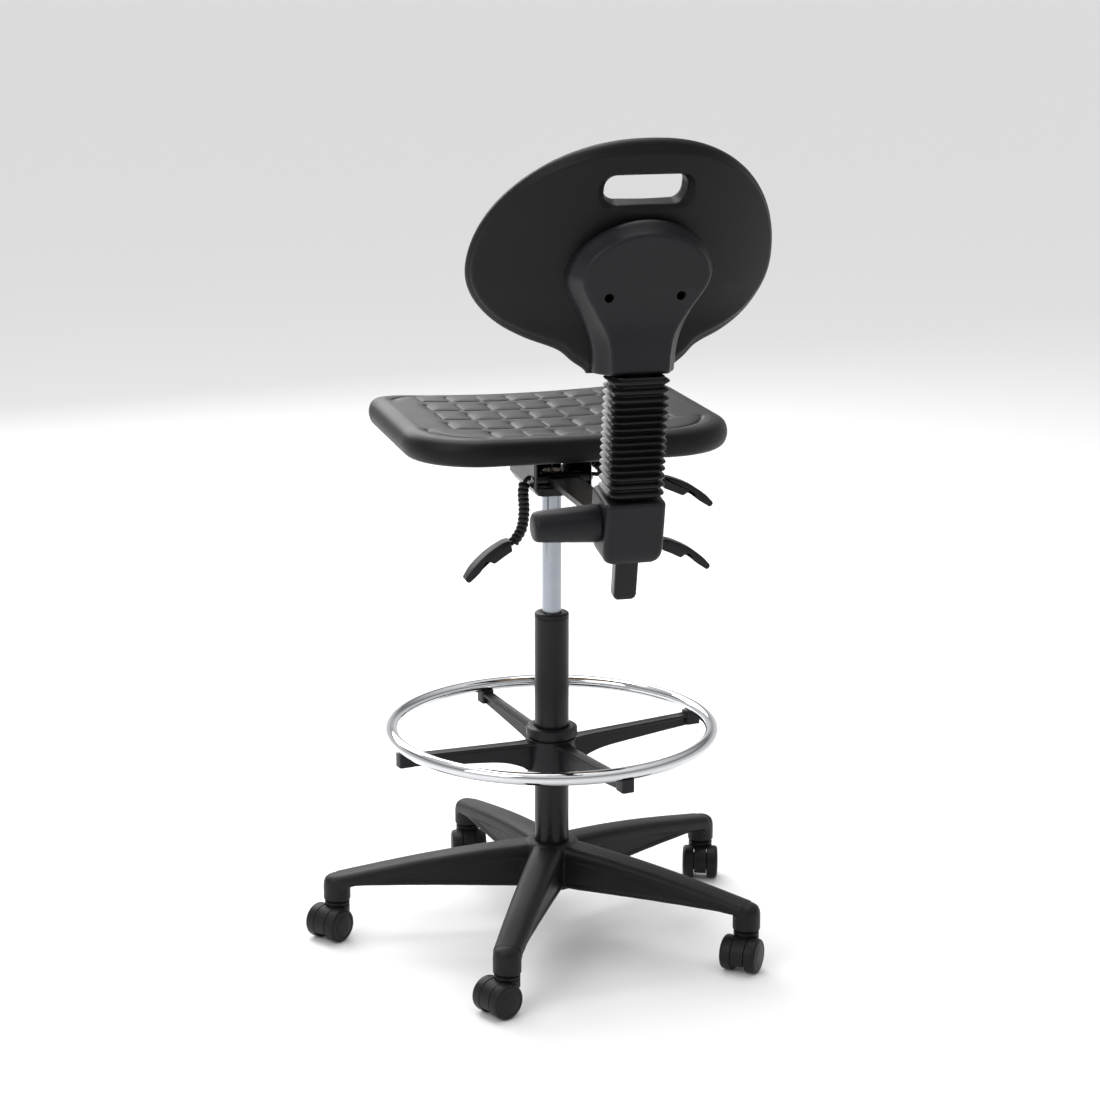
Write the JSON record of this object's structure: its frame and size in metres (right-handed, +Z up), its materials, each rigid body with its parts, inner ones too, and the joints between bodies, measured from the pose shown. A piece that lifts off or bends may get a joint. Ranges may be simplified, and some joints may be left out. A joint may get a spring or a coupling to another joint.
{
  "type": "drafting chair",
  "caption": "Tall work chair: a star base on twin-wheel casters, a gas column with a chromed footring, a tilting dished seat and a high oval back on an arm with a ribbed sleeve.",
  "frame": {"origin": "middle of the chair's footprint box, on the floor", "axes": "+Z up, -Y the way the sitter faces, +X the sitter's left"},
  "size_m": [0.6706, 0.8114, 1.2009],
  "materials": {
    "black_nylon": "moulded glass-filled nylon, fine texture",
    "black_plastic": "moulded, satin",
    "caster_plastic": "moulded nylon",
    "polyurethane": "self-skinned polyurethane foam, soft matte",
    "rubber": "soft moulded",
    "black_steel": "black powder coat",
    "satin_steel": "satin plated",
    "zinc_steel": "zinc plated",
    "chrome": "bright plated",
    "plywood": "bare birch plywood"
  },
  "bodies": {
    "back_arm": {"adjuster_cover": "black_plastic", "clamp_bracket": "black_steel", "link_arm": "black_steel"},
    "back": {"back_cover": "black_plastic", "back_pad": "polyurethane", "bellows": "rubber", "cover_screw_left": "black_steel", "cover_screw_right": "black_steel", "upright": "black_steel"},
    "back_lever": {"back_lever_paddle": "black_plastic", "back_lever_rod": "black_steel"},
    "lift": {"back_pivot_pin": "zinc_steel", "gas_cylinder": "satin_steel", "mechanism_housing": "black_steel", "seat_pivot_pin": "zinc_steel"},
    "caster_1_swivel": {"caster_1_axle": "zinc_steel", "caster_1_hood": "black_nylon"},
    "base": {"caster_1_stem": "zinc_steel", "caster_2_stem": "zinc_steel", "caster_3_stem": "zinc_steel", "caster_4_stem": "zinc_steel", "caster_5_stem": "zinc_steel", "column_tube": "black_steel", "guide_bush": "black_plastic", "star_base": "black_nylon"},
    "caster_1_left_spin": {"caster_1_wheel_left": "caster_plastic"},
    "caster_1_right_spin": {"caster_1_wheel_right": "caster_plastic"},
    "caster_2_swivel": {"caster_2_axle": "zinc_steel", "caster_2_hood": "black_nylon"},
    "caster_2_left_spin": {"caster_2_wheel_left": "caster_plastic"},
    "caster_2_right_spin": {"caster_2_wheel_right": "caster_plastic"},
    "caster_3_swivel": {"caster_3_axle": "zinc_steel", "caster_3_hood": "black_nylon"},
    "caster_3_left_spin": {"caster_3_wheel_left": "caster_plastic"},
    "caster_3_right_spin": {"caster_3_wheel_right": "caster_plastic"},
    "caster_4_swivel": {"caster_4_axle": "zinc_steel", "caster_4_hood": "black_nylon"},
    "caster_4_left_spin": {"caster_4_wheel_left": "caster_plastic"},
    "caster_4_right_spin": {"caster_4_wheel_right": "caster_plastic"},
    "caster_5_swivel": {"caster_5_axle": "zinc_steel", "caster_5_hood": "black_nylon"},
    "caster_5_left_spin": {"caster_5_wheel_left": "caster_plastic"},
    "caster_5_right_spin": {"caster_5_wheel_right": "caster_plastic"},
    "knob": {"clamp_knob": "black_plastic"},
    "footring_lock": {"footring_collar": "black_plastic"},
    "footring": {"footring_hub": "black_plastic", "footring_ring": "chrome"},
    "gas_lever": {"gas_lever_paddle": "black_plastic", "gas_lever_rod": "black_steel", "gas_lever_sleeve": "rubber"},
    "gas_rod": {"piston_rod": "satin_steel", "retaining_clip": "zinc_steel", "thrust_bearing": "zinc_steel"},
    "release": {"release_pin": "zinc_steel"},
    "seat": {"seat_board": "plywood", "seat_pad": "polyurethane", "seat_plate": "black_steel"},
    "seat_lever": {"seat_lever_paddle": "black_plastic", "seat_lever_rod": "black_steel", "seat_lever_sleeve": "rubber"}
  },
  "joints": [
    {"name": "caster_1_swivel", "type": "hinge", "parent": "base", "child": "caster_1_swivel", "pos_m": [0.28706, -0.11773, 0], "axis": [0, 0, 1], "continuous": true},
    {"name": "caster_1_left_spin", "type": "hinge", "parent": "caster_1_swivel", "child": "caster_1_left_spin", "pos_m": [0.30085, -0.10696, 0.025], "axis": [-0.6157, 0.788, 0], "continuous": true},
    {"name": "caster_1_right_spin", "type": "hinge", "parent": "caster_1_swivel", "child": "caster_1_right_spin", "pos_m": [0.30085, -0.10696, 0.025], "axis": [-0.6157, 0.788, 0], "continuous": true},
    {"name": "caster_2_swivel", "type": "hinge", "parent": "base", "child": "caster_2_swivel", "pos_m": [0.1123, 0.21234, 0], "axis": [0, 0, 1], "continuous": true},
    {"name": "caster_2_left_spin", "type": "hinge", "parent": "caster_2_swivel", "child": "caster_2_left_spin", "pos_m": [0.12803, 0.22001, 0.025], "axis": [-0.4384, 0.8988, 0], "continuous": true},
    {"name": "caster_2_right_spin", "type": "hinge", "parent": "caster_2_swivel", "child": "caster_2_right_spin", "pos_m": [0.12803, 0.22001, 0.025], "axis": [-0.4384, 0.8988, 0], "continuous": true},
    {"name": "caster_3_swivel", "type": "hinge", "parent": "base", "child": "caster_3_swivel", "pos_m": [-0.25562, 0.14812, 0], "axis": [0, 0, 1], "continuous": true},
    {"name": "caster_3_left_spin", "type": "hinge", "parent": "caster_3_swivel", "child": "caster_3_left_spin", "pos_m": [-0.2446, 0.16172, 0.025], "axis": [-0.7771, 0.6293, 0], "continuous": true},
    {"name": "caster_3_right_spin", "type": "hinge", "parent": "caster_3_swivel", "child": "caster_3_right_spin", "pos_m": [-0.2446, 0.16172, 0.025], "axis": [-0.7771, 0.6293, 0], "continuous": true},
    {"name": "caster_4_swivel", "type": "hinge", "parent": "base", "child": "caster_4_swivel", "pos_m": [-0.30824, -0.22163, 0], "axis": [0, 0, 1], "continuous": true},
    {"name": "caster_4_left_spin", "type": "hinge", "parent": "caster_4_swivel", "child": "caster_4_left_spin", "pos_m": [-0.30283, -0.20499, 0.025], "axis": [-0.9511, 0.309, 0], "continuous": true},
    {"name": "caster_4_right_spin", "type": "hinge", "parent": "caster_4_swivel", "child": "caster_4_right_spin", "pos_m": [-0.30283, -0.20499, 0.025], "axis": [-0.9511, 0.309, 0], "continuous": true},
    {"name": "caster_5_swivel", "type": "hinge", "parent": "base", "child": "caster_5_swivel", "pos_m": [0.02715, -0.38594, 0], "axis": [0, 0, 1], "continuous": true},
    {"name": "caster_5_left_spin", "type": "hinge", "parent": "caster_5_swivel", "child": "caster_5_left_spin", "pos_m": [0.02959, -0.36861, 0.025], "axis": [-0.9903, 0.1392, 0], "continuous": true},
    {"name": "caster_5_right_spin", "type": "hinge", "parent": "caster_5_swivel", "child": "caster_5_right_spin", "pos_m": [0.02959, -0.36861, 0.025], "axis": [-0.9903, 0.1392, 0], "continuous": true},
    {"name": "footring_height", "type": "slide", "parent": "base", "child": "footring", "axis": [0, 0, 1], "range_m": [-0.09, 0.14]},
    {"name": "footring_lock", "type": "hinge", "parent": "footring", "child": "footring_lock", "pos_m": [-0.02747, -0.07297, 0.294], "axis": [0, 0, 1], "range_deg": [0, 90]},
    {"name": "swivel", "type": "hinge", "parent": "base", "child": "gas_rod", "pos_m": [-0.02747, -0.07297, 0.073], "axis": [0, 0, 1], "continuous": true},
    {"name": "seat_height", "type": "slide", "parent": "gas_rod", "child": "lift", "axis": [0, 0, 1], "range_m": [-0.16, 0.05]},
    {"name": "seat_tilt", "type": "hinge", "parent": "lift", "child": "seat", "pos_m": [-0.02747, -0.14497, 0.705], "axis": [1, 0, 0], "range_deg": [-3, 8]},
    {"name": "back_tilt", "type": "hinge", "parent": "lift", "child": "back_arm", "pos_m": [-0.02747, -0.01697, 0.692], "axis": [1, 0, 0], "range_deg": [-8, 10]},
    {"name": "height_knob", "type": "hinge", "parent": "back_arm", "child": "knob", "pos_m": [-0.02747, 0.30653, 0.704], "axis": [1, 0, 0], "range_deg": [0, 360]},
    {"name": "back_height", "type": "slide", "parent": "back_arm", "child": "back", "axis": [0, 0.1908, 0.9816], "range_m": [-0.02, 0.05], "deforming": ["bellows"]},
    {"name": "gas_lever", "type": "hinge", "parent": "lift", "child": "gas_lever", "pos_m": [-0.06947, -0.07297, 0.705], "axis": [0, 1, 0], "range_deg": [0, 6], "stiffness_Nm_per_rad": 1.5, "springref_deg": -5.73},
    {"name": "release", "type": "slide", "parent": "lift", "child": "release", "axis": [0, 0, 1], "range_m": [-0.0045, 0]},
    {"name": "back_lever", "type": "hinge", "parent": "lift", "child": "back_lever", "pos_m": [-0.06947, -0.03797, 0.691], "axis": [0, 1, 0], "range_deg": [0, 12], "stiffness_Nm_per_rad": 1.5, "springref_deg": -5.73},
    {"name": "seat_lever", "type": "hinge", "parent": "lift", "child": "seat_lever", "pos_m": [0.01453, -0.03797, 0.69], "axis": [0, -1, 0], "range_deg": [0, 12], "stiffness_Nm_per_rad": 1.5, "springref_deg": -5.73}
  ],
  "couplings": [
    {"joint": "release", "follows": "gas_lever", "m_per_rad": -0.042}
  ]
}
